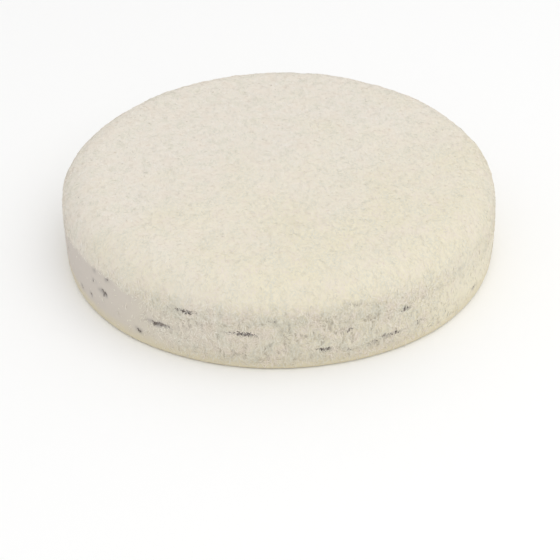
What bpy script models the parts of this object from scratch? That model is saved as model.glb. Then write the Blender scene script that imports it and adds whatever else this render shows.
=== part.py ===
"""Whole round biscuit cake: biscuit and cream layers under one cream coat rolled in desiccated coconut.

The uncut cake is a single solid. A turned outline gives the drum: a low dome on top, a soft shoulder
where the palette knife rounded the edge off, an almost upright side and a small tuck at the foot.
The coat is spread by hand, so the turned drum is then eased in and out by a millimetre or less.
The flat underside stays at Z = 0, and the origin is the middle of it.
"""
import math

import bpy
import numpy as np

# Driving sizes, in metres
CAKE_RADIUS = 0.130       # a 26 cm baking ring
CAKE_HEIGHT = 0.0575      # underside to the top of the dome
DOME_RISE = 0.0014        # middle of the top above its edge
SHOULDER_IN = 0.0225      # how far the rounded edge reaches in over the top
SHOULDER_DOWN = 0.0200    # how far it reaches down the side
SIDE_BULGE = 0.0006       # swell of the side between shoulder and foot
FOOT_ROUND = 0.0030       # tuck where the coat meets the underside

# Turned mesh
TURN_STEPS = 96
TOP_RINGS = 9
SHOULDER_RINGS = 11
SIDE_RINGS = 6
FOOT_RINGS = 4
BASE_RINGS = 3

# Uneven spreading of the coat: waves round the cake, as (waves in a turn, metres, phase in degrees)
ROUND_WAVES = ((2, 0.00035, 20), (3, 0.00030, 115), (5, 0.00022, 250), (8, 0.00015, 40))
# Single strokes of the palette knife on the shoulder: (angle, half width in degrees, metres outwards)
KNIFE_STROKES = (
    (174, 11, 0.0010), (141, 15, -0.0008), (104, 20, 0.0005), (43, 19, -0.0010),
    (15, 9, 0.0008), (-28, 14, 0.0006), (-72, 16, -0.0005), (-112, 18, 0.0006), (-150, 13, -0.0006),
)
TOP_SWELL = 0.0005        # soft rise and fall of the top
TOP_SWELL_LENGTH = 0.085  # from one rise to the next

COAT_COLOUR = (0.80, 0.74, 0.62, 1.0)
COAT_ROUGHNESS = 0.9


def clear_scene():
    """Remove every object of the open scene."""
    for old in list(bpy.data.objects):
        bpy.data.objects.remove(old, do_unlink=True)


def quarter_arc(centre, radii, start, end, rings):
    """Points of an elliptical arc about a centre, from one angle to another, without its first point."""
    points = []
    for ring in range(1, rings + 1):
        angle = start + (end - start) * ring / rings
        points.append((centre[0] + radii[0] * math.cos(angle), centre[1] + radii[1] * math.sin(angle)))
    return points


def cake_outline():
    """Half outline of the cake as (distance from the axis, height), from the top middle to the base middle."""
    top_edge = CAKE_RADIUS - SHOULDER_IN
    edge_height = CAKE_HEIGHT - DOME_RISE
    side_top = edge_height - SHOULDER_DOWN
    points = []
    for ring in range(TOP_RINGS + 1):
        reach = ring / TOP_RINGS
        points.append((top_edge * reach, CAKE_HEIGHT - DOME_RISE * reach ** 2))
    points += quarter_arc((top_edge, side_top), (SHOULDER_IN, SHOULDER_DOWN), math.pi / 2, 0, SHOULDER_RINGS)
    for ring in range(1, SIDE_RINGS + 1):
        reach = ring / SIDE_RINGS
        height = side_top + (FOOT_ROUND - side_top) * reach
        points.append((CAKE_RADIUS + SIDE_BULGE * math.sin(math.pi * reach), height))
    foot_centre = (CAKE_RADIUS - FOOT_ROUND, FOOT_ROUND)
    points += quarter_arc(foot_centre, (FOOT_ROUND, FOOT_ROUND), 0, -math.pi / 2, FOOT_RINGS)
    for ring in range(1, BASE_RINGS + 1):
        points.append(((CAKE_RADIUS - FOOT_ROUND) * (1 - ring / BASE_RINGS), 0.0))
    return points


def turned_drum(name):
    """Turn the outline once round the Z axis and return the finished mesh."""
    outline = cake_outline()
    profile = bpy.data.meshes.new(name + "_outline")
    edges = [(point, point + 1) for point in range(len(outline) - 1)]
    profile.from_pydata([(reach, 0.0, height) for reach, height in outline], edges, [])
    turner = bpy.data.objects.new(name + "_turner", profile)
    bpy.context.scene.collection.objects.link(turner)
    screw = turner.modifiers.new("Turn", 'SCREW')
    screw.axis = 'Z'
    screw.angle = 2 * math.pi
    screw.steps = TURN_STEPS
    screw.render_steps = TURN_STEPS
    screw.use_merge_vertices = True
    screw.merge_threshold = 0.00005
    depsgraph = bpy.context.evaluated_depsgraph_get()
    mesh = bpy.data.meshes.new_from_object(turner.evaluated_get(depsgraph))
    bpy.data.objects.remove(turner, do_unlink=True)
    mesh.name = name
    return mesh


def knife_ease(angle):
    """Sum of the knife strokes at each angle: a smooth bump or dent about each stroke's own angle."""
    ease = np.zeros_like(angle)
    for middle, half_width, out in KNIFE_STROKES:
        away = (np.degrees(angle) - middle + 180) % 360 - 180
        ease += out * np.exp(-(away / half_width) ** 2)
    return ease


def spread_by_hand(mesh):
    """Ease the true drum in and out, and lift and sink its top, leaving the underside flat."""
    places = np.empty(len(mesh.vertices) * 3, dtype=np.float32)
    mesh.vertices.foreach_get("co", places)
    x, y, z = places.reshape(-1, 3).astype(float).T
    reach = np.hypot(x, y) / CAKE_RADIUS
    angle = np.arctan2(y, x)
    up = np.clip(z / CAKE_HEIGHT, 0.0, 1.0)

    ease = np.zeros_like(angle)
    for waves, amount, phase in ROUND_WAVES:
        ease += amount * np.cos(waves * angle + math.radians(phase) + 1.2 * up)
    ease += knife_ease(angle) * np.sin(math.pi * np.clip(up, 0.0, 1.0) ** 1.6)
    ease *= np.clip(reach, 0.0, 1.0) ** 2
    grow = 1 + ease / CAKE_RADIUS

    turn = 2 * math.pi / TOP_SWELL_LENGTH
    swell = np.sin(turn * x + 0.7) * np.cos(turn * y - 0.4) + 0.5 * np.sin(turn * (0.6 * x - 0.8 * y) + 2.1)
    lift = TOP_SWELL * swell * up ** 3

    moved = np.stack([x * grow, y * grow, z + lift], axis=1)
    middle = (moved[:, :2].min(axis=0) + moved[:, :2].max(axis=0)) / 2
    moved[:, :2] -= middle
    mesh.vertices.foreach_set("co", moved.astype(np.float32).ravel())
    mesh.update()


def coat_material():
    """Pale cream and coconut, dull and warm."""
    material = bpy.data.materials.new("cream_coat")
    material.use_nodes = True
    material.diffuse_color = COAT_COLOUR
    shader = material.node_tree.nodes["Principled BSDF"]
    shader.inputs["Base Color"].default_value = COAT_COLOUR
    shader.inputs["Roughness"].default_value = COAT_ROUGHNESS
    shader.inputs["Metallic"].default_value = 0.0
    return material


def build_cake(collection):
    """The whole cake, one solid with its coat."""
    mesh = turned_drum("cake")
    spread_by_hand(mesh)
    mesh.shade_smooth()
    mesh.materials.clear()
    mesh.materials.append(coat_material())
    cake = bpy.data.objects.new("cake", mesh)
    collection.objects.link(cake)
    return cake


clear_scene()
biscuit_cake = bpy.data.collections.new("biscuit_cake")
bpy.context.scene.collection.children.link(biscuit_cake)
build_cake(biscuit_cake)
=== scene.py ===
"""A whole biscuit cake: its spread cream coat, the biscuit ends in the coat's gaps, and its coconut."""
import math

import bpy
import numpy as np
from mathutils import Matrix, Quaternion, Vector


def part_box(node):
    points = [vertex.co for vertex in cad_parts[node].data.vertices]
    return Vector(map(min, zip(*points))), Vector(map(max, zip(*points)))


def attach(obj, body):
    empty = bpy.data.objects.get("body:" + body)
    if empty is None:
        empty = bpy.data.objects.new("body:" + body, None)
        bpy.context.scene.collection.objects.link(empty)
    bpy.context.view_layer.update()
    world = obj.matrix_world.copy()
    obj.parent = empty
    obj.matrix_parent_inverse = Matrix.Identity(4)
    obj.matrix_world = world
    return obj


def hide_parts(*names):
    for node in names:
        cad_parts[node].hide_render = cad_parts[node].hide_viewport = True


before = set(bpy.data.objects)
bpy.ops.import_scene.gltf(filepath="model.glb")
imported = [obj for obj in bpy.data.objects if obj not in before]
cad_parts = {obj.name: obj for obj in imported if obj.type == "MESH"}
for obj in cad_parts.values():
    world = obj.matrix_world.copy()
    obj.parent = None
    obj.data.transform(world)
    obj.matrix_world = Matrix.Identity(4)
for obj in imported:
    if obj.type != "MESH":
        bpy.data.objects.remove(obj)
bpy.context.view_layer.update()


# ---------------------------------------------------------------------------------------------------
# The cream coat. Biscuit layers soaked in sour cream are stacked in a ring, and one coat of the same
# cream is spread over the top and side with a palette knife. The edge is rounded off, the side is
# smoothed upwards from the foot, and the coat stays thin enough for a biscuit end to show here and there.

MM = 0.001                # lengths are in metres, so 3 * MM is 3 mm
cake_low, cake_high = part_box("cake")
CAKE_RADIUS = 130 * MM
CAKE_HEIGHT = 57.5 * MM
DOME_RISE = 1.4 * MM
SHOULDER_IN = 22.5 * MM
SHOULDER_DOWN = 20 * MM
SIDE_BULGE = 0.6 * MM
FOOT_ROUND = 3 * MM
TOP_EDGE = CAKE_RADIUS - SHOULDER_IN
# How the hand-spread coat leaves the circle: waves as (number round the cake, mm, phase in degrees),
# and single knife strokes as (degrees from +X, half width in degrees, mm outwards)
ROUND_WAVES = ((2, 0.35, 20), (3, 0.30, 115), (5, 0.22, 250), (8, 0.15, 40))
KNIFE_STROKES = (
    (174, 11, 1.0), (141, 15, -0.8), (104, 20, 0.5), (43, 19, -1.0),
    (15, 9, 0.8), (-28, 14, 0.6), (-72, 16, -0.5), (-112, 18, 0.6), (-150, 13, -0.6),
)
TOP_SWELL = 0.5 * MM
TOP_SWELL_LENGTH = 85 * MM

TOP_CELLS = 196           # cells along one side of the square that is drawn out into the top
SIDE_ROWS = 74            # rows of cells from the top's rim to the end of the foot's round
BASE_ROWS = 4

# Where the coat is thin over the ends of the biscuit layers: the gaps of the front half, as (degrees
# from the front towards the right, height of the middle, half length, how open), heights and lengths in mm
BISCUIT_LAYERS = (10.5, 22.5, 33)
FRONT_GAPS = (
    (-86, 9, 2.0, 0.75), (-75, 21, 2.4, 0.4), (-63, 10, 2.4, 0.6), (-58, 12.5, 1.6, 0.55),
    (-56, 24, 2.2, 0.5), (-55, 31.5, 3.2, 0.4), (-51, 21.5, 3.4, 1.0), (-49, 32, 3.0, 0.55),
    (-38, 9.5, 3.2, 0.6), (-31, 19.5, 8.0, 0.9), (-23.5, 34.5, 8.0, 0.75), (-9, 24.5, 8.5, 1.0),
    (-2, 33.5, 4.0, 0.5),
    (11, 12.5, 5.5, 0.75), (16.5, 23.5, 2.0, 0.75), (17, 10, 3.0, 0.5), (18, 39.5, 6.0, 0.4),
    (23, 10.5, 2.5, 0.45), (28.5, 13.2, 11.0, 0.55), (36, 14.5, 4.5, 0.45), (31.7, 27, 3.5, 0.8),
    (51, 34, 2.4, 0.3), (59, 9.5, 1.2, 0.9),
)
GAP_HALF_HEIGHT = 1.7 * MM
GAP_DEPTH = 0.9 * MM
GAP_SLOPE = 0.1                                   # the steepest that a gap runs up or down as it goes round
FRAY_ROUND, FRAY_UP = 1.3, 0.9 * MM               # how ragged its ends are, in degrees, and its long edges
BACK_GAPS = 26
BACK_START, BACK_SWEEP = 82, 196                  # degrees round the cake that the back's gaps take

# How the coconut was pressed on round the side: each zone as (middle, half width) in degrees from the
# front towards the right, the mm above the foot where thick coconut ends, and its share below that
FRONT_ZONE, RIGHT_ZONE, LEFT_ZONE = (10, 34), (62, 26), (-60, 38)
FRONT_EDGE, RIGHT_EDGE, LEFT_EDGE, BACK_EDGE = 31, 25, 35, 29
FRONT_SHARE, RIGHT_SHARE, LEFT_SHARE, BACK_SHARE = 0.66, 0.26, 0.01, 0.6
LEFT_PEAK, LEFT_FALL = -52, 0.012                 # where the left's edge is highest, and how fast it falls
CLUMPED_ZONE = (4, 38)                            # where the coconut below the edge sits in clumps
SMOOTH_ZONE = (-62, 27)                           # where the knife left hardly any
ROUGH_FRONT = 36                                  # half width, in degrees, of the roughest relief

# Widths of the coat's round bumps, of clumps and the pits between them and of knife marks, and in mm how
# far each stands out or sinks in
BUMP_WIDTH, BUMP_HEIGHT = 4 * MM, 0.52
CLUMP_WIDTH, CLUMP_HEIGHT = 3.6 * MM, 0.34
PIT_WIDTH, FINE_PIT_WIDTH, PIT_DEPTH = 2.3 * MM, 1.5 * MM, 1.1
LONG_MARK, LONG_MARK_HEIGHT = 9 * MM, 0.22
SHORT_MARK, SHORT_MARK_HEIGHT = 3.5 * MM, 0.10

# The flat layout of the skin: the middle and radius of the disc for top and side, and of the base's disc
DISC_MIDDLE, DISC_RADIUS = 0.5, 0.49
BASE_MIDDLE, BASE_RADIUS = 0.93, 0.06

CREAM = (0.81, 0.757, 0.665, 1)
CREAM_YELLOW = (0.81, 0.752, 0.56, 1)
# yellower, darker cream at the foot: partly its own tint, partly painted contact shade where it meets the
# floor
CREAM_FOOT_AND_SHADE = (0.70, 0.63, 0.45, 1)
# greyer, darker cream where bare on the left: partly the bare cream's tone, partly painted shade of the side
# away from the lamp
CREAM_GREY_AND_SHADE = (0.54, 0.487, 0.445, 1)
CREAM_ROSE = (0.81, 0.74, 0.65, 1)
SHADOW_CREAM = (0.50, 0.452, 0.39, 1)
# painted shade in the sunk gaps over the biscuit ends, bluish grey on the cream
GAP_SHADE = (0.31, 0.29, 0.28, 1)
YELLOW_PATCH, ROSE_PATCH = 34 * MM, 13 * MM       # how wide the patches of these tints are
FOOT_TINT_AND_SHADE = 7 * MM                                # how far up the foot's tint and its painted contact shade reach, more or less
SHADE_SPOT = 1.5 * MM                             # width of the spots of painted shade in pits and gaps
FUZZ_WIDTH, FUZZ_DEPTH = 0.9 * MM, 0.35 * MM      # the finest grain of the cream


def arc(centre, radii, start, end, count):
    """Points centre + radii * (cos, sin) of equal steps of angle from start to end."""
    angle = np.linspace(start, end, count)
    return np.stack([centre[0] + radii[0] * np.cos(angle), centre[1] + radii[1] * np.sin(angle)], 1)


def drum_outline():
    """Half outline from the top's middle to the base's, as points (reach, height), and its lengths.

    A parabola for the dome, a quarter ellipse for the shoulder, a line bowed by half a sine for the side,
    a quarter circle for the foot and a line for the base. The lengths are those at each point, and at the
    ends of the dome, the foot and the base.
    """
    reach = np.linspace(0, 1, 40)
    dome = np.stack([TOP_EDGE * reach, CAKE_HEIGHT - DOME_RISE * reach ** 2], 1)
    side_top = CAKE_HEIGHT - DOME_RISE - SHOULDER_DOWN
    shoulder = arc((TOP_EDGE, side_top), (SHOULDER_IN, SHOULDER_DOWN), math.pi / 2, 0, 60)
    down = np.linspace(0, 1, 40)
    side = np.stack([CAKE_RADIUS + SIDE_BULGE * np.sin(math.pi * down),
                     side_top + (FOOT_ROUND - side_top) * down], 1)
    foot = arc((CAKE_RADIUS - FOOT_ROUND, FOOT_ROUND), (FOOT_ROUND, FOOT_ROUND), 0, -math.pi / 2, 20)
    base = np.stack([(CAKE_RADIUS - FOOT_ROUND) * (1 - reach), 0 * reach], 1)
    outline = np.concatenate([dome, shoulder[1:], side[1:], foot[1:], base[1:]])
    length = np.concatenate([[0], np.cumsum(np.hypot(*np.diff(outline, axis=0).T))])
    return outline, length, length[[len(dome) - 1, -len(base), -1]]


OUTLINE, OUTLINE_LENGTH, (TOP_END, FOOT_END, BASE_END) = drum_outline()


def drum(along, angle):
    """Point of the coat at a length along the outline, turned by an angle round the cake.

    The reach is eased by cosine waves that turn on a little with height, and by a bell for each knife
    stroke, strongest at two thirds of the height. The height is eased by a slow swell of sines over the top.
    """
    reach = np.interp(along, OUTLINE_LENGTH, OUTLINE[:, 0])
    z = np.interp(along, OUTLINE_LENGTH, OUTLINE[:, 1])
    up = z / CAKE_HEIGHT
    ease = sum(size * np.cos(waves * angle + math.radians(phase) + 1.2 * up)
               for waves, size, phase in ROUND_WAVES)
    for middle, half_width, out in KNIFE_STROKES:
        away = (np.degrees(angle) - middle + 180) % 360 - 180
        ease = ease + out * np.exp(-(away / half_width) ** 2) * np.sin(math.pi * up ** 1.6)
    reach = reach * (1 + ease * MM / CAKE_RADIUS * np.clip(reach / CAKE_RADIUS, 0, 1) ** 2)
    x, y = reach * np.cos(angle), reach * np.sin(angle)
    turn = 2 * math.pi / TOP_SWELL_LENGTH
    swell = np.sin(turn * x + 0.7) * np.cos(turn * y - 0.4) + 0.5 * np.sin(turn * (0.6 * x - 0.8 * y) + 2.1)
    return np.stack([x, y, z + TOP_SWELL * swell * up ** 3], 1)


def fitted(points):
    """Points moved and scaled along each axis so that the plain drum fills the CAD cake's box."""
    low, high = points.min(0), points.max(0)
    scale = (np.array(cake_high) - np.array(cake_low)) / (high - low)
    return (points - low) * scale + np.array(cake_low)


def hashed(cells, seed):
    """A fixed number from 0 to 1 for each whole-number cell.

    The cell's three steps times large primes, plus the seed, are folded on themselves by shifts.
    """
    mixed = cells.astype(np.int64) @ np.array([73856093, 19349663, 83492791]) + seed * 2654435761
    for shift in (13, 17, 11):
        mixed = ((mixed ^ (mixed >> shift)) * 1274126177) & 0xFFFFFFFF
    return mixed / 0xFFFFFFFF


def soft_noise(points, size, seed):
    """Smooth noise from -1 to 1: hashed lattice values a given size apart, blended by smoothstep.

    A seed gives the pattern, and points shrunk along an axis draw it out along that axis.
    """
    cell = np.floor(points / size)
    part = points / size - cell
    part = part * part * (3 - 2 * part)
    total = np.zeros(len(points))
    for corner in np.ndindex(2, 2, 2):
        weight = np.prod(np.where(np.array(corner) == 1, part, 1 - part), axis=1)
        total += weight * hashed(cell + corner, seed)
    return 2 * total - 1


def packed_bumps(points, size, seed):
    """Height from 0 to 1 of packed round bumps: half an ellipse over the nearest cell's hashed middle."""
    cell = np.floor(points / size)
    nearest = np.full(len(points), 9.0)
    for step in np.ndindex(3, 3, 3):
        home = cell + np.array(step) - 1
        middle = home + np.stack([hashed(home, seed + axis) for axis in range(3)], 1)
        nearest = np.minimum(nearest, np.linalg.norm(points / size - middle, axis=1))
    return np.sqrt(np.clip(1 - (nearest / 0.85) ** 2, 0, 1))


def coat_grid():
    """Lengths along the outline, angles and faces of one closed skin.

    The top is a square grid drawn out into a disc: the larger of |u| and |v| is the radius, and the other
    one over it is the share of an eighth of a turn. Rows of the side and base carry its edge on downwards.
    """
    step = np.linspace(-1, 1, TOP_CELLS + 1)
    u, v = np.meshgrid(step, step)
    wide = np.abs(u) >= np.abs(v)
    radius = np.where(wide, u, v)
    share = np.divide(np.where(wide, v, u), radius, out=np.zeros_like(u), where=radius != 0)
    angle = np.where(wide, math.pi / 4 * share, math.pi / 2 - math.pi / 4 * share)
    angle = np.where(radius < 0, angle + math.pi, angle)
    index = np.arange(u.size).reshape(u.shape)
    top = np.stack([index[:-1, :-1], index[:-1, 1:], index[1:, 1:], index[1:, :-1]], -1).reshape(-1, 4)
    rim = np.concatenate([index[:-1, -1], index[-1, :0:-1], index[:0:-1, 0], index[0, :-1]])
    rim_angle = angle.ravel()[rim]
    rows = np.concatenate([
        np.linspace(TOP_END, FOOT_END, SIDE_ROWS + 1)[1:],
        np.linspace(FOOT_END, BASE_END, BASE_ROWS + 1)[1:-1],
    ])
    ring = np.concatenate([rim[None], u.size + np.arange(len(rows) * len(rim)).reshape(len(rows), -1)])
    beside = np.roll(ring, -1, axis=1)
    walls = np.stack([ring[:-1], ring[1:], beside[1:], beside[:-1]], -1).reshape(-1, 4)
    pole = ring.max() + 1
    fan = np.stack([ring[-1], np.full(len(rim), pole), beside[-1]], -1)
    along = np.concatenate([np.abs(radius).ravel() * TOP_END, np.repeat(rows, len(rim)), [BASE_END]])
    around = np.concatenate([angle.ravel(), np.tile(rim_angle, len(rows)), [0.0]])
    return along, around, [top, walls, fan]


def new_object(name, places, face_sets, smooth=True):
    """Object with a mesh of the given points and of face tables, each table with one number of corners."""
    mesh = bpy.data.meshes.new(name)
    corners = np.concatenate([faces.ravel() for faces in face_sets])
    sizes = np.concatenate([np.full(len(faces), faces.shape[1]) for faces in face_sets])
    mesh.vertices.add(len(places))
    mesh.vertices.foreach_set("co", places.astype(np.float32).ravel())
    mesh.loops.add(len(corners))
    mesh.loops.foreach_set("vertex_index", corners.astype(np.int32))
    mesh.polygons.add(len(sizes))
    mesh.polygons.foreach_set("loop_start", np.concatenate([[0], np.cumsum(sizes)[:-1]]).astype(np.int32))
    mesh.polygons.foreach_set("use_smooth", np.full(len(sizes), smooth))
    mesh.update(calc_edges=True)
    mesh.validate()
    made = bpy.data.objects.new(name, mesh)
    bpy.context.scene.collection.objects.link(made)
    return made


def put_on_points(piece, name, values):
    """Store one number for each vertex under a name that the material reads."""
    layer = piece.data.attributes.new(name, 'FLOAT', 'POINT')
    layer.data.foreach_set("value", np.asarray(values, np.float32))


def front_angle(places):
    """Degrees round the cake from its front, -Y, towards its right, +X."""
    return np.degrees(np.arctan2(places[:, 0], -places[:, 1]))


def plateau(degrees, middle, half_width):
    """1 near a middle angle, 0 well past a half width: exp of minus (distance / half width) to the 4th."""
    return np.exp(-((degrees - middle) / half_width) ** 4)


def gap_list():
    """The gaps of the front, and more of the same kind set at random round the back."""
    random = np.random.default_rng(7)
    gaps = list(FRONT_GAPS)
    for number in range(BACK_GAPS):
        degrees = BACK_START + BACK_SWEEP * (number + random.random()) / BACK_GAPS
        height = random.choice(BISCUIT_LAYERS) + random.uniform(-1.6, 1.6)
        gaps.append((degrees, height, random.uniform(1.8, 9), random.uniform(0.3, 0.95)))
    return gaps


def gap_mask(places):
    """How far each point lies in a gap, 0 to 1: a long low bell about each middle, frayed by noise.

    Each gap has a slope of its own, by the sine of its middle's angle taken as radians. The top has none.
    """
    degrees = front_angle(places) + FRAY_ROUND * soft_noise(places, 3.5 * MM, 11)
    height = places[:, 2] + FRAY_UP * soft_noise(places, 2.6 * MM, 12)
    mask = np.zeros(len(places))
    for middle, middle_height, half_length, openness in gap_list():
        away = np.radians((degrees - middle + 180) % 360 - 180) * CAKE_RADIUS
        rise = GAP_SLOPE * away * math.sin(middle)
        above = height - middle_height * MM - rise
        bell = np.exp(-(away / (half_length * MM)) ** 2 - (above / GAP_HALF_HEIGHT) ** 2)
        mask = np.maximum(mask, openness * bell)
    return mask * (np.hypot(places[:, 0], places[:, 1]) > 0.9 * CAKE_RADIUS)


def coat_zones(places):
    """Whether each point is above the edge of the thick coconut, 0 to 1, and how much is stuck on below it.

    The edge's height and the share below it are sums of what the front, the right, the left and the back
    have, each times its plateau of angle. The left's edge is a parabola, level again 26 degrees from its
    peak, the back's edge and share wander with a slow noise, and every edge with a quicker one.
    """
    degrees = front_angle(places)
    front, right, left = (plateau(degrees, *zone) for zone in (FRONT_ZONE, RIGHT_ZONE, LEFT_ZONE))
    back = 1 - np.clip(front + right + left, 0, 1)
    wander = soft_noise(places * [1, 1, 0], 30 * MM, 21)
    left_edge = LEFT_EDGE - LEFT_FALL * np.clip(degrees - LEFT_PEAK, -26, 26) ** 2
    back_edge = BACK_EDGE + 6 * wander
    edge = (FRONT_EDGE * front + RIGHT_EDGE * right + left_edge * left + back_edge * back) * MM
    edge = edge + 2.0 * MM * soft_noise(places, 8 * MM, 22)
    below = FRONT_SHARE * front + RIGHT_SHARE * right + LEFT_SHARE * left + (BACK_SHARE + 0.4 * wander) * back
    above = np.clip((places[:, 2] - edge) / ((4.5 + 6 * back) * MM) + 0.5, 0, 1)
    return above * above * (3 - 2 * above), np.clip(below, 0, 1)


def coconut_cover(places):
    """How thickly coconut lies, 0 to 1: full above the edge, thinner below it, and none at the foot."""
    above, below = coat_zones(places)
    return (below + (1 - below) * above) * np.clip(places[:, 2] / (5 * MM) - 0.35, 0, 1)


def pits_between_clumps(places):
    """How deep each point lies between clumps of coconut, 0 to 1.

    Two noises drawn out upwards and a slow drift, cut off at a level that lets most through at the front
    and some at the back. The top and the foot have none.
    """
    degrees = front_angle(places)
    share = 0.15 + 0.85 * plateau(degrees, *CLUMPED_ZONE) - 0.07 * plateau(degrees, *SMOOTH_ZONE)
    share = share + 0.35 * np.clip((np.abs(degrees) - 100) / 25, 0, 1)
    hollow = 0.75 * soft_noise(places * [1, 1, 0.4], PIT_WIDTH, 41)
    hollow = hollow + 0.5 * soft_noise(places * [1, 1, 0.6], FINE_PIT_WIDTH, 42)
    drift = 0.45 * soft_noise(places, 11 * MM, 43)
    on_side = np.clip((37 * MM - places[:, 2]) / (8 * MM), 0, 1) * np.clip(places[:, 2] / (4 * MM) - 1, 0, 1)
    return np.clip((hollow + drift - 0.57 + 0.42 * share) / 0.42, 0, 1) * on_side * share


def coat_relief(places, upright, cover, pits):
    """How far the coat stands out, in mm: packed bumps and clumps under coconut, knife marks where bare.

    The thick coconut's edge is a small ledge, and the pits between clumps sink in. Bumps are lower on the
    side than on top, and lowest away from the front.
    """
    front = plateau(front_angle(places), 0, ROUGH_FRONT)
    even = upright * (1 - front)
    ledge = (0.2 + 0.6 * front) * (coat_zones(places)[0] - 0.5) * upright
    relief = (BUMP_HEIGHT - 0.2 * upright - 0.14 * even) * packed_bumps(places, BUMP_WIDTH, 31)
    clumps = soft_noise(places * [1, 1, 0.5], CLUMP_WIDTH, 32)
    relief = relief + (CLUMP_HEIGHT + 0.21 * upright * front - 0.2 * even) * clumps
    knife = LONG_MARK_HEIGHT * soft_noise(places * [1, 1, 2.2], LONG_MARK, 33)
    knife = knife + SHORT_MARK_HEIGHT * soft_noise(places * [1, 1, 2], SHORT_MARK, 34)
    return cover * relief + (1 - cover) * (knife + 0.15) + ledge - 0.2 - PIT_DEPTH * pits


def make_coat():
    """The coat's skin: the drum moved outwards by its relief and inwards at its gaps, by less at the foot."""
    along, angle, face_sets = coat_grid()
    places = fitted(drum(along, angle))
    coat = new_object("cream_coat", places, face_sets)
    outward = np.empty(len(places) * 3, np.float32)
    coat.data.vertex_normals.foreach_get("vector", outward)
    outward = outward.reshape(-1, 3).astype(float)
    cover, gap, pits = coconut_cover(places), gap_mask(places), pits_between_clumps(places)
    raised = coat_relief(places, np.clip(1 - outward[:, 2], 0, 1), cover, pits)
    sunk = np.clip((gap - 0.15) / 0.6, 0, 1)
    on_show = np.clip(places[:, 2] / (2.5 * MM), 0, 1)
    moved = places + outward * ((raised * MM - GAP_DEPTH * sunk) * on_show)[:, None]
    coat.data.vertices.foreach_set("co", moved.astype(np.float32).ravel())
    coat.data.update()
    put_on_points(coat, "gap", gap)
    put_on_points(coat, "cover", cover)
    put_on_points(coat, "pits", pits)
    return coat


class Socket:
    """A number coming out of a node: the operators + - * / add the Math nodes that they name."""

    def __init__(self, nodes, output):
        self.nodes, self.output = nodes, output

    def maths(self, operation, first, second):
        """A Math node of the given operation on two numbers."""
        return self.nodes.add('ShaderNodeMath', {"operation": operation}, {0: first, 1: second})[0]

    def __add__(self, other):
        return self.maths('ADD', self, other)

    def __radd__(self, other):
        return self.maths('ADD', other, self)

    def __sub__(self, other):
        return self.maths('SUBTRACT', self, other)

    def __rsub__(self, other):
        return self.maths('SUBTRACT', other, self)

    def __mul__(self, other):
        return self.maths('MULTIPLY', self, other)

    def __rmul__(self, other):
        return self.maths('MULTIPLY', other, self)

    def __truediv__(self, other):
        return self.maths('DIVIDE', self, other)

    def held(self):
        """The number held between 0 and 1."""
        return self.nodes.add('ShaderNodeMath', {"operation": 'ADD', "use_clamp": True}, {0: self, 1: 0.0})[0]


class Nodes:
    """The node tree of a new material whose one shader is a Principled BSDF."""

    def __init__(self, name, **constants):
        self.material = bpy.data.materials.new(name)
        self.material.use_nodes = True
        self.tree = self.material.node_tree
        self.shader = self.tree.nodes["Principled BSDF"]
        for socket, value in constants.items():
            self.shader.inputs[socket.replace("_", " ")].default_value = value

    def add(self, kind, settings, sockets):
        """Add a node: its settings first, then a value or a link for each socket. Gives its outputs."""
        node = self.tree.nodes.new(kind)
        for setting, value in settings.items():
            setattr(node, setting, value)
        for socket, value in sockets.items():
            self.join(node.inputs[socket], value)
        return [Socket(self, output) for output in node.outputs]

    def join(self, socket, value):
        """Link a Socket to an input, or set the input to a plain value."""
        if isinstance(value, Socket):
            self.tree.links.new(value.output, socket)
        else:
            socket.default_value = value

    def place(self):
        """Object coordinates, in metres."""
        return self.add('ShaderNodeTexCoord', {}, {})[3]

    def noise(self, where, size, detail=2.0, roughness=0.5):
        """Noise from 0 to 1 whose patches are about as wide as the given size in metres."""
        return self.add('ShaderNodeTexNoise', {"noise_dimensions": '3D'},
                        {"Vector": where, "Scale": 1 / size, "Detail": detail, "Roughness": roughness})[0]

    def stretched(self, where, scale):
        """Coordinates multiplied along each axis: a pattern on them runs long where the scale is small."""
        return self.add('ShaderNodeVectorMath', {"operation": 'MULTIPLY'}, {0: where, 1: scale})[0]

    def attribute(self, name):
        """A number stored on the mesh."""
        return self.add('ShaderNodeAttribute', {"attribute_name": name}, {})[2]

    def mix(self, share, first, second):
        """Colour that goes from the first to the second with the share."""
        return self.add('ShaderNodeMix', {"data_type": 'RGBA'}, {0: share, 6: first, 7: second})[2]

    def bump(self, height, distance, strength):
        """Normal bent by a height pattern of the given depth in metres."""
        settings = {"Strength": strength, "Distance": distance, "Height": height}
        return self.add('ShaderNodeBump', {}, settings)[0]


def yellow_share(nodes, where, x, y):
    """Wide patches where cream and coconut are yellower, more of them to the front and to the right."""
    return ((nodes.noise(where, YELLOW_PATCH) - 0.5) * 1.4 + 0.25 + x * 3.3 - y * 5).held()


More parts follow.
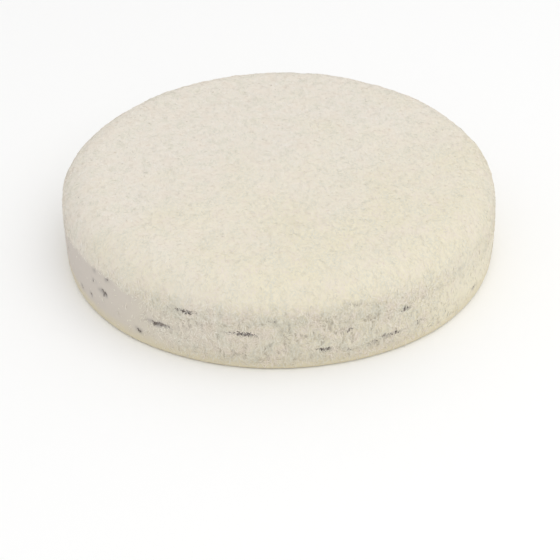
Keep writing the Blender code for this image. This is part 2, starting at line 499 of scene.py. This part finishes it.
def coat_material():
    """Cream in drifting tints, with painted shade in pits and gaps. It is yellower and darker at the foot,
    partly the foot's own tint and partly painted contact shade, and greyer and darker where bare on the
    left, partly the bare cream's tone and partly painted shade of the side away from the lamp.

    A patch's share is a noise about its middle, made steeper and held between 0 and 1. The foot's share
    falls with height along a ragged line, and the grey's falls towards the right and under the coconut.
    """
    nodes = Nodes("cream_coat", Roughness=0.72, Specular_IOR_Level=0.25)
    where = nodes.place()
    x, y, z = nodes.add('ShaderNodeSeparateXYZ', {}, {0: where})
    cover, gap, pits = (nodes.attribute(name) for name in ("cover", "gap", "pits"))
    colour = nodes.mix(yellow_share(nodes, where, x, y) * 0.72, CREAM, CREAM_YELLOW)
    rose = ((nodes.noise(where, ROSE_PATCH) - 0.52) * 3).held()
    colour = nodes.mix(rose * 0.5, colour, CREAM_ROSE)
    # grey on the bare left: partly the cream's own tone, partly painted shade away from the lamp
    grey = ((0.36 - x * 3) * (1 - cover)).held()
    colour = nodes.mix(grey, colour, CREAM_GREY_AND_SHADE)
    ragged = (nodes.noise(where, 4 * MM, detail=3) - 0.5) * 7 * MM
    # the foot's tint, partly its own colour and partly painted contact shade
    foot = (1.4 - (z + ragged) / FOOT_TINT_AND_SHADE).held()
    colour = nodes.mix(foot * 0.8, colour, CREAM_FOOT_AND_SHADE)
    spots = nodes.noise(nodes.stretched(where, (1, 1, 0.6)), SHADE_SPOT, detail=3, roughness=0.6)
    shaded = (pits * 0.7 + (spots - 0.5) * pits * 2.2).held()
    colour = nodes.mix(shaded * 0.85, colour, SHADOW_CREAM)
    # painted shade in the gaps
    colour = nodes.mix((gap * 1.1 + (spots - 0.5) * gap * 2).held(), colour, GAP_SHADE)
    nodes.join(nodes.shader.inputs["Base Color"], colour)
    fuzz = nodes.noise(where, FUZZ_WIDTH, detail=3, roughness=0.6) * (0.25 + 0.75 * cover)
    nodes.join(nodes.shader.inputs["Normal"], nodes.bump(fuzz, FUZZ_DEPTH, 0.8))
    return nodes.material


def lay_coat_out(piece):
    """Lay the skin out flat: top and side as one disc, by length along the outline, the base in a corner."""
    along, angle, face_sets = coat_grid()
    corner = np.concatenate([faces.ravel() for faces in face_sets])
    sizes = np.concatenate([np.full(len(faces), faces.shape[1]) for faces in face_sets])
    least = np.minimum.reduceat(along[corner], np.concatenate([[0], np.cumsum(sizes)[:-1]]))
    on_base = np.repeat(least > FOOT_END - 1e-6, sizes)
    heading = np.stack([np.cos(angle), np.sin(angle)], 1)[corner]
    disc = DISC_MIDDLE + DISC_RADIUS * heading * (along[corner] / FOOT_END)[:, None]
    inwards = (BASE_END - along[corner]) / (BASE_END - FOOT_END)
    base = BASE_MIDDLE + BASE_RADIUS * heading * inwards[:, None]
    layer = piece.data.uv_layers.new(name="OFBake")
    layer.data.foreach_set("uv", np.where(on_base[:, None], base, disc).astype(np.float32).ravel())


coat = make_coat()
lay_coat_out(coat)
coat.data.materials.append(coat_material())
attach(coat, "root")
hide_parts("cake")


# ---------------------------------------------------------------------------------------------------
# Desiccated coconut. Fine white meat of the nut, grated and dried, is strewn over the top and pressed
# on to the side by hand, so it lies thick on top and over the edge and thins out towards the foot.

# Each kind of grain: how many, its length, width and thickness in mm, the rings of points between its
# two tips as (place along it, girth, bend), points in a ring, tilt in radians, and mm raised at most
MEAL = dict(count=33000, length=(0.8, 1.5), width=(0.5, 0.95), thickness=(0.16, 0.30),
            rings=((0.0, 1.0, 0.0),), corners=3, tilt=0.05, lift=0.08)
SHREDS = dict(count=16500, length=(1.8, 3.2), width=(0.5, 0.85), thickness=(0.18, 0.32),
              rings=((-0.22, 0.9, 0.05), (0.2, 1.0, 0.07)), corners=3, tilt=0.05, lift=0.1)
FLAKES = dict(count=24500, length=(1.2, 2.1), width=(0.7, 1.2), thickness=(0.12, 0.25),
              rings=((0.05, 1.0, 0.0),), corners=4, tilt=0.05, lift=0.08)
CURLS = dict(count=3500, length=(2.0, 3.4), width=(0.55, 0.95), thickness=(0.28, 0.45),
             rings=((-0.2, 1.0, 0.16), (0.22, 0.9, 0.2)), corners=3, tilt=0.08, lift=0.12)
THREADS = dict(count=4000, length=(2.4, 4.2), width=(0.45, 0.8), thickness=(0.25, 0.4),
               rings=((-0.22, 1.0, 0.08), (0.2, 0.9, 0.1)), corners=3, tilt=0.08, lift=0.25)
UNEVENNESS = 0.22                                 # share by which each point of a grain strays
HEADING_SPREAD = 0.9                              # radians
EVEN_ROLL, ROUGH_ROLL = 0.1, 0.42                 # radians: everywhere, and how much more at the rough front
ROUGH_TILT = 2.5                                  # how many times more the grains tilt there
STRAY_COVER = 0.004                               # how thickly single grains lie on bare cream
LOWEST_GRAIN = 1.5 * MM
THREADS_TOP = 44 * MM                             # where threads and curls on the front thin out upwards

COCONUT = (0.79, 0.742, 0.665, 1)
COCONUT_WHITE = (0.87, 0.83, 0.768, 1)
COCONUT_CREAMY = (0.765, 0.714, 0.55, 1)
COCONUT_ROSE = (0.82, 0.745, 0.655, 1)
COCONUT_GREEN = (0.745, 0.72, 0.62, 1)
# yellower, darker coconut near the foot: partly its own tint, partly painted contact shade
COCONUT_FOOT_AND_SHADE = (0.68, 0.62, 0.49, 1)
COCONUT_SHADE = (0.62, 0.592, 0.515, 1)
COCONUT_SKIN = (0.50, 0.44, 0.36, 1)
DRIFT_PATCH = 9 * MM                              # how wide the patches of rose and of green are
STROKE_WIDTH = 2.4 * MM                           # how wide the soft darker strokes are


def spots_on_coat(count, seed, weight):
    """Places on the coat, and its outward direction there, as even over it as a weight by place allows.

    Each place takes one step along the running total of triangle areas times their weight, and lies in
    that triangle at two random shares, folded back where they pass its third side.
    """
    mesh = coat.data
    mesh.calc_loop_triangles()
    triangles = np.empty(len(mesh.loop_triangles) * 3, np.int32)
    mesh.loop_triangles.foreach_get("vertices", triangles)
    triangles = triangles.reshape(-1, 3)
    co, outward = (np.empty(len(mesh.vertices) * 3, np.float32) for _ in range(2))
    mesh.vertices.foreach_get("co", co)
    mesh.vertex_normals.foreach_get("vector", outward)
    co, outward = co.reshape(-1, 3).astype(float), outward.reshape(-1, 3).astype(float)
    a, b, c = co[triangles[:, 0]], co[triangles[:, 1]], co[triangles[:, 2]]
    middle = (a + b + c) / 3
    area = np.linalg.norm(np.cross(b - a, c - a), axis=1) / 2 * weight(middle)
    random = np.random.default_rng(seed)
    level = (np.arange(count) + random.random(count)) / count * area.sum()
    chosen = np.minimum(np.searchsorted(np.cumsum(area), level), len(area) - 1)
    s, t = random.random(count), random.random(count)
    s, t = np.where(s + t > 1, 1 - s, s), np.where(s + t > 1, 1 - t, t)
    share = np.stack([1 - s - t, s, t], 1)[:, :, None]
    corners = triangles[chosen]
    normal = (outward[corners] * share).sum(1)
    normal /= np.linalg.norm(normal, axis=1)[:, None]
    order = random.permutation(count)
    return (co[corners] * share).sum(1)[order], normal[order]


def lying_axes(normal, random, tilt):
    """Three axes for each grain: its length, its width and its thickness.

    The length heads at random, mostly up the side, or from front to back on top. It is raised from the
    surface by a random tilt, and the grain is rolled about it at random, both more on the rough front.
    """
    guide = np.where(np.abs(normal[:, 2:]) > 0.9, [[0, 1.0, 0]], [[0, 0, 1.0]])
    side = np.cross(normal, guide)
    side /= np.linalg.norm(side, axis=1)[:, None]
    ahead = np.cross(side, normal)
    upright = np.clip(1 - normal[:, 2], 0, 1)
    rough = upright * plateau(front_angle(normal), 0, 45)
    spread = HEADING_SPREAD - 0.15 * upright
    count = len(normal)
    heading = (spread * random.standard_normal(count) + math.pi * random.integers(0, 2, count))[:, None]
    lean = (tilt * (1 + ROUGH_TILT * rough) * random.standard_normal(count))[:, None]
    flat = ahead * np.cos(heading) + side * np.sin(heading)
    forward = flat * np.cos(lean) + normal * np.sin(lean)
    across = np.cross(normal, flat)
    roll = ((EVEN_ROLL + ROUGH_ROLL * rough) * random.uniform(-1, 1, count))[:, None]
    up = np.cross(forward, across)
    across = across * np.cos(roll) + up * np.sin(roll)
    return forward, across, np.cross(forward, across)


def grain_template(rings, corners):
    """Points and faces of one sliver along X: a tip, rings of corners at (place, girth, bend), a tip."""
    points = [(-0.5, 0, 0)]
    for place, girth, bend in rings:
        for corner in range(corners):
            turn = 2 * math.pi * corner / corners
            points.append((place, 0.5 * girth * math.cos(turn), 0.5 * girth * math.sin(turn) + bend))
    points.append((0.5, 0, 0))
    last = len(points) - 1
    faces = []
    for corner in range(corners):
        beside = (corner + 1) % corners
        faces.append((0, 1 + beside, 1 + corner))
        faces.append((last, last - corners + corner, last - corners + beside))
        for ring in range(len(rings) - 1):
            here, on = 1 + ring * corners, 1 + (ring + 1) * corners
            faces.append((here + corner, here + beside, on + beside))
            faces.append((here + corner, on + beside, on + corner))
    return np.array(points, float), np.array(faces)


def strew(name, seed, weight, material, slot, count, length, width, thickness, rings, corners, tilt, lift):
    """One kind of grain strewn over the coat as a single mesh.

    Each grain is the sliver scaled to its own length, width and thickness, each of its points moved by a
    random share, laid on its three axes at its place and raised by up to the lift.
    """
    random = np.random.default_rng(seed)
    spot, normal = spots_on_coat(count, seed, weight)
    forward, across, up = lying_axes(normal, random, tilt)
    points, faces = grain_template(rings, corners)
    sizes = np.stack([random.uniform(*limits, count) for limits in (length, width, thickness)], 1) * MM
    uneven = 1 + UNEVENNESS * random.uniform(-1, 1, (count, len(points), 3))
    local = points[None] * uneven * sizes[:, None]
    raised = spot + normal * (lift * MM * random.uniform(0.0, 1.0, count))[:, None]
    places = (raised[:, None] + local[..., :1] * forward[:, None] + local[..., 1:2] * across[:, None]
              + local[..., 2:] * up[:, None])
    all_faces = (faces[None] + (np.arange(count) * len(points))[:, None, None]).reshape(-1, 3)
    piece = new_object(name, places.reshape(-1, 3), [all_faces], smooth=False)
    put_on_points(piece, "tint", np.repeat(random.random(count), len(points)))
    lay_grains_out(piece, points, all_faces, count)
    piece.data.materials.append(material)
    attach(piece, "root")
    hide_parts("cake")


def lay_grains_out(piece, points, all_faces, count):
    """Lay each grain out flat in a square of its own, with its length across and its ring points spread up.

    Length takes the middle 0.6 of the square. The height is a sine that turns on by 2.4 from point to
    point, so that no two points of a ring fall on each other.
    """
    side = math.ceil(math.sqrt(count))
    grain = all_faces.ravel() // len(points)
    corner = all_faces.ravel() % len(points)
    turn = np.arange(len(points)) * 2.4
    u = 0.2 + 0.6 * (points[:, 0] + 0.5)
    v = 0.5 + 0.28 * np.where(np.abs(points[:, 0]) < 0.5, np.sin(turn + 0.4), 0.0)
    uv = np.stack([(grain % side + u[corner]) / side, (grain // side + v[corner]) / side], 1)
    layer = piece.data.uv_layers.new(name="OFBake")
    layer.data.foreach_set("uv", uv.astype(np.float32).ravel())


def coconut_material(name, whiteness):
    """Dried coconut: each grain its own tint between creamy and white, one in a hundred with brown skin.

    Over that lie the coat's yellow patches, the foot's tint with painted contact shade, patches of rose and
    green, and soft strokes.
    """
    nodes = Nodes(name, Roughness=0.8, Specular_IOR_Level=0.2)
    where = nodes.place()
    x, y, z = nodes.add('ShaderNodeSeparateXYZ', {}, {0: where})
    tint = nodes.attribute("tint")
    colour = nodes.mix((tint * 0.6 - 0.3 + whiteness).held(), COCONUT, COCONUT_WHITE)
    colour = nodes.mix(((0.35 - tint) * 0.6).held(), colour, COCONUT_CREAMY)
    colour = nodes.mix(((tint - 0.99) * 100).held(), colour, COCONUT_SKIN)
    yellow = yellow_share(nodes, where, x, y) * (0.88 - 0.45 * whiteness)
    colour = nodes.mix(yellow, colour, COCONUT_CREAMY)
    # towards the foot: partly its own tint, partly painted contact shade
    colour = nodes.mix((1.2 - z / (12 * MM)).held() * 0.6, colour, COCONUT_FOOT_AND_SHADE)
    drift = nodes.noise(where, DRIFT_PATCH, detail=1)
    colour = nodes.mix(((drift - 0.5) * 7).held() * 0.7, colour, COCONUT_ROSE)
    colour = nodes.mix(((0.5 - drift) * 7).held() * 0.7, colour, COCONUT_GREEN)
    strokes = nodes.noise(nodes.stretched(where, (1, 0.45, 0.6)), STROKE_WIDTH, detail=1)
    colour = nodes.mix(((strokes - 0.55) * 6).held() * 0.38, colour, COCONUT_SHADE)
    nodes.join(nodes.shader.inputs["Base Color"], colour)
    return nodes.material


def thick(places):
    """How thickly grains lie: by the coat's cover, less in the pits between clumps, and not in the gaps."""
    kept = np.clip(1 - 1.3 * gap_mask(places), 0, 1) * np.clip(1 - pits_between_clumps(places), 0, 1)
    return np.clip(coconut_cover(places), STRAY_COVER, 1) * kept * (places[:, 2] > LOWEST_GRAIN)


def thick_on_side(places):
    """As thick, on the front of the side and of the lower shoulder alone."""
    front = plateau(front_angle(places), 0, 40)
    return thick(places) * front * np.clip((THREADS_TOP - places[:, 2]) / (10 * MM), 0, 1)


def thick_at_front(places):
    """As thick on the front of the side, and an eighth as thick everywhere else."""
    return 0.12 * thick(places) + 0.88 * thick_on_side(places)


strew("coconut_meal", 101, thick, coconut_material("coconut_meal", 0.35), "coconut", **MEAL)
strew("coconut_shreds", 103, thick, coconut_material("coconut_shreds", 0.45), "coconut", **SHREDS)
strew("coconut_flakes", 104, thick, coconut_material("coconut_flakes", 0.3), "coconut", **FLAKES)
strew("coconut_curls", 105, thick_at_front, coconut_material("coconut_curls", 0.75), "coconut", **CURLS)
strew("coconut_threads", 106, thick_on_side, coconut_material("coconut_threads", 1.0), "coconut", **THREADS)


# ---------------------------------------------------------------------------------------------------
# The biscuit ends. The edges of the baked biscuits inside reach the coat here and there, so each gap
# shows a row of small brown-grey crumbs and corners of them, half sunk in the cream.

BISCUIT = (0.33, 0.29, 0.255, 1)
BISCUIT_DARK = (0.12, 0.10, 0.088, 1)
CRUMB_CLUSTER = 1.3 * MM
CRUMBS = dict(count=400, length=(0.9, 2.0), width=(0.6, 1.2), thickness=(0.4, 0.7),
              rings=((-0.15, 1.0, 0.0), (0.25, 0.8, 0.05)), corners=4, tilt=0.1, lift=0.1)


def in_gaps(places):
    """How thickly crumbs lie: along the middle of the gaps alone, more in some small cells than in others."""
    clustered = 0.15 + hashed(np.floor(places / CRUMB_CLUSTER), 51) ** 2
    return np.clip(gap_mask(places) - 0.3, 0, 1) * clustered


def biscuit_material():
    """Soaked biscuit: each crumb its own tint between grey-brown and dark brown."""
    nodes = Nodes("biscuit", Roughness=0.85, Specular_IOR_Level=0.2)
    colour = nodes.mix(nodes.attribute("tint"), BISCUIT, BISCUIT_DARK)
    nodes.join(nodes.shader.inputs["Base Color"], colour)
    return nodes.material


strew("biscuit_ends", 107, in_gaps, biscuit_material(), "biscuit", **CRUMBS)


# ---------------------------------------------------------------------------------------------------
# The setting: a plain pale floor under soft studio light, seen from a little above the front.

FLOOR_SIZE = 6.0                                  # metres
FLOOR_COLOUR = (0.96, 0.96, 0.955, 1)
LAMP_PLACE = (0.64, -0.58, 1.58)                  # metres: to the right, in front and well above
LAMP_SIZE = 2.0
LAMP_WATTS = 10
WORLD_LIGHT = (1.0, 1.0, 1.0, 1)
WORLD_STRENGTH = 0.84
CAMERA_AWAY = 8.0 * CAKE_RADIUS
CAMERA_RISE = 33.8                                # degrees above the floor, seen from the middle of the foot
CAMERA_DIP = 35.14                                # degrees that it looks down
CAMERA_ROLL = -1.1                                # degrees
CAMERA_LENS = 108                                 # mm


def make_floor():
    """A wide flat sheet under the cake."""
    half = FLOOR_SIZE / 2
    corners = np.array([(-half, -half, 0), (half, -half, 0), (half, half, 0), (-half, half, 0)])
    floor = new_object("floor", corners, [np.array([[0, 1, 2, 3]])], smooth=False)
    nodes = Nodes("floor", Roughness=0.9)
    nodes.join(nodes.shader.inputs["Base Color"], FLOOR_COLOUR)
    floor.data.materials.append(nodes.material)


def make_light(name, place, size, watts):
    """A soft square lamp that faces the cake."""
    lamp = bpy.data.lights.new(name, 'AREA')
    lamp.shape, lamp.size, lamp.energy = 'SQUARE', size, watts
    made = bpy.data.objects.new(name, lamp)
    made.location = place
    made.rotation_euler = (-Vector(place)).to_track_quat('-Z', 'Y').to_euler()
    bpy.context.scene.collection.objects.link(made)


def make_camera():
    """Camera in front and above, aimed a little below the cake's foot so that the cake sits high in view."""
    rise, dip = math.radians(CAMERA_RISE), math.radians(CAMERA_DIP)
    camera = bpy.data.objects.new("camera", bpy.data.cameras.new("camera"))
    camera.data.lens = CAMERA_LENS
    camera.location = (0, -CAMERA_AWAY * math.cos(rise), CAMERA_AWAY * math.sin(rise))
    look = Vector((0, math.cos(dip), -math.sin(dip))).to_track_quat('-Z', 'Y')
    camera.rotation_euler = (look @ Quaternion((0, 0, 1), math.radians(CAMERA_ROLL))).to_euler()
    bpy.context.scene.collection.objects.link(camera)
    bpy.context.scene.camera = camera


def make_world():
    """Even white light from all round, shown with plain display colours."""
    world = bpy.data.worlds.new("studio")
    world.use_nodes = True
    background = world.node_tree.nodes["Background"]
    background.inputs["Color"].default_value = WORLD_LIGHT
    background.inputs["Strength"].default_value = WORLD_STRENGTH
    bpy.context.scene.world = world
    bpy.context.scene.view_settings.view_transform = 'Standard'


make_floor()
make_light("overhead", LAMP_PLACE, LAMP_SIZE, LAMP_WATTS)
make_camera()
make_world()
